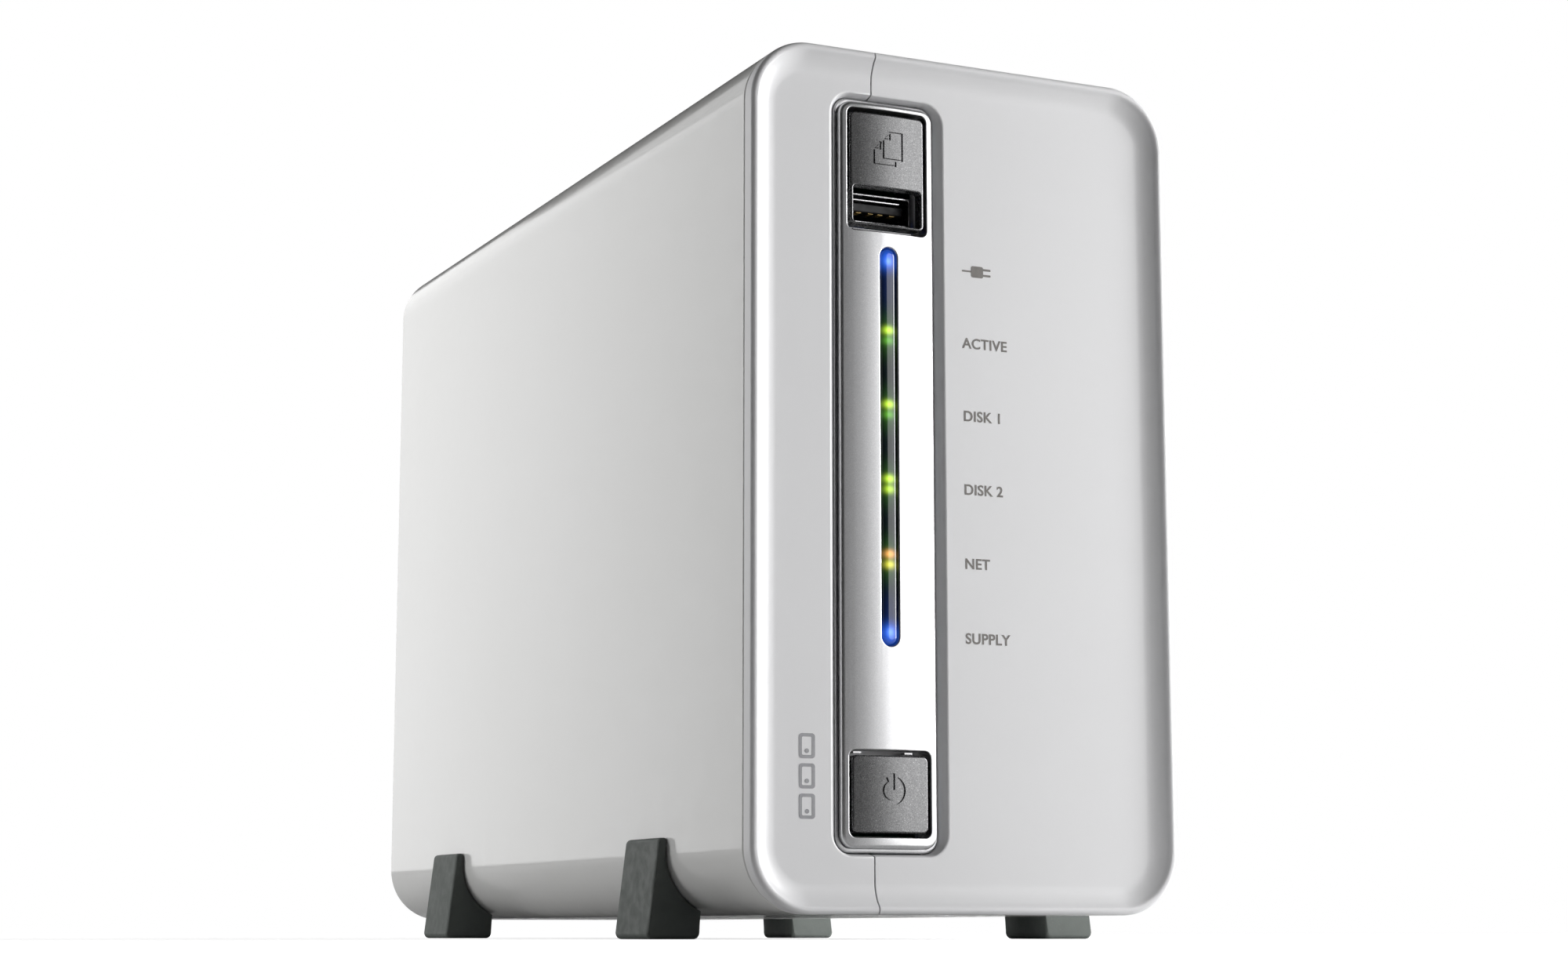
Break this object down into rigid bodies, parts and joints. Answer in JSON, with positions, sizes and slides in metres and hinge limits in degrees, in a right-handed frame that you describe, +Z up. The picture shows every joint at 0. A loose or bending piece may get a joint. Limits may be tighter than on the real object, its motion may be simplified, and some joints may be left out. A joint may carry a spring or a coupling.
{
  "type": "network attached storage",
  "caption": "Upright desktop network storage box: white case with a slide-off side cover, silver front strip with buttons, socket and light pipe, drives inside, rear fan and ports.",
  "frame": {"origin": "middle of the footprint, on the plane that the feet stand on", "axes": "+Z up, the control strip faces -Y, the sockets and fan face +Y, +X is to the right seen from the front"},
  "size_m": [0.097, 0.218, 0.165],
  "materials": {
    "casing_gloss": "high gloss moulded white plastic",
    "bezel_satin": "satin white plastic",
    "trim_silver": "satin silver metallic paint",
    "button_graphite": "graphite metallic paint with fine flake",
    "lens_smoked": "polished smoked light pipe",
    "foot_rubber": "matte grey-green rubber",
    "sheet_steel": "zinc-plated sheet",
    "screw_steel": "nickel-plated",
    "cast_aluminium": "cast and machined",
    "circuit_board": "green solder mask",
    "black_plastic": "fine textured black",
    "lamp_blue": "lit blue lamp",
    "lamp_green": "lit yellow-green lamp",
    "cable_grey": "soft grey insulation"
  },
  "bodies": {
    "base": {"right_shell": "casing_gloss", "front_bezel_right": "bezel_satin", "trim_panel": "trim_silver", "light_pipe": "lens_smoked", "foot_front_right": "foot_rubber", "foot_rear_right": "foot_rubber", "rear_panel": "sheet_steel", "drive_cage": "sheet_steel", "front_usb_shell": "sheet_steel", "usb_rear_lower": "sheet_steel", "usb_rear_upper": "sheet_steel", "lan_jack": "sheet_steel", "drive_1_cover": "sheet_steel", "drive_2_cover": "sheet_steel", "mainboard_screw_top": "screw_steel", "mainboard_screw_bottom": "screw_steel", "fan_screw_top_left": "screw_steel", "fan_screw_top_right": "screw_steel", "fan_screw_bottom_left": "screw_steel", "fan_screw_bottom_right": "screw_steel", "drive_1_screw_top_front": "screw_steel", "drive_1_screw_top_rear": "screw_steel", "drive_1_screw_bottom_front": "screw_steel", "drive_1_screw_bottom_rear": "screw_steel", "drive_2_screw_top_front": "screw_steel", "drive_2_screw_top_rear": "screw_steel", "drive_2_screw_bottom_front": "screw_steel", "drive_2_screw_bottom_rear": "screw_steel", "drive_1_casting": "cast_aluminium", "drive_2_casting": "cast_aluminium", "cpu_heatsink": "cast_aluminium", "front_board": "circuit_board", "mainboard": "circuit_board", "sata_backplane": "circuit_board", "drive_1_board": "circuit_board", "drive_2_board": "circuit_board", "front_usb_tongue": "black_plastic", "copy_switch": "black_plastic", "power_switch": "black_plastic", "fan_frame": "black_plastic", "dc_jack": "black_plastic", "led_usb": "lamp_blue", "led_power": "lamp_blue", "led_system": "lamp_green", "led_disk_1": "lamp_green", "led_disk_2": "lamp_green", "led_network": "lamp_green", "fan_cable": "cable_grey", "front_cable": "cable_grey"},
    "cover": {"left_cover": "casing_gloss", "front_bezel_left": "bezel_satin", "foot_front_left": "foot_rubber", "foot_rear_left": "foot_rubber"},
    "copy_button": {"copy_button": "button_graphite"},
    "power_button": {"power_button": "button_graphite"},
    "reset_button": {"reset_button": "black_plastic"},
    "fan_rotor": {"fan_rotor": "black_plastic"},
    "thumb_screw_top": {"thumb_screw_top": "screw_steel"},
    "thumb_screw_bottom": {"thumb_screw_bottom": "screw_steel"}
  },
  "joints": [
    {"name": "cover_slide", "type": "slide", "parent": "base", "child": "cover", "axis": [0, -1, 0], "range_m": [0, 0.215]},
    {"name": "copy_button_press", "type": "hinge", "parent": "base", "child": "copy_button", "pos_m": [-0.0157, -0.1049, 0.13125], "axis": [-1, 0, 0], "range_deg": [0, 3], "stiffness_Nm_per_rad": 0.5, "springref_deg": -1.15},
    {"name": "power_button_press", "type": "hinge", "parent": "base", "child": "power_button", "pos_m": [-0.0157, -0.1049, 0.03345], "axis": [1, 0, 0], "range_deg": [0, 4], "stiffness_Nm_per_rad": 0.3, "springref_deg": -1.15},
    {"name": "reset_button_press", "type": "slide", "parent": "base", "child": "reset_button", "axis": [0, -1, 0], "range_m": [0, 0.0005], "stiffness_N_per_m": 800, "springref_m": -0.0005},
    {"name": "fan_spin", "type": "hinge", "parent": "base", "child": "fan_rotor", "pos_m": [-0.004, 0.091, 0.1144], "axis": [0, 1, 0], "continuous": true},
    {"name": "thumb_screw_top_turn", "type": "hinge", "parent": "base", "child": "thumb_screw_top", "pos_m": [-0.034, 0.1003, 0.1559], "axis": [0, 1, 0], "continuous": true},
    {"name": "thumb_screw_bottom_turn", "type": "hinge", "parent": "base", "child": "thumb_screw_bottom", "pos_m": [-0.034, 0.1003, 0.0144], "axis": [0, 1, 0], "continuous": true}
  ]
}
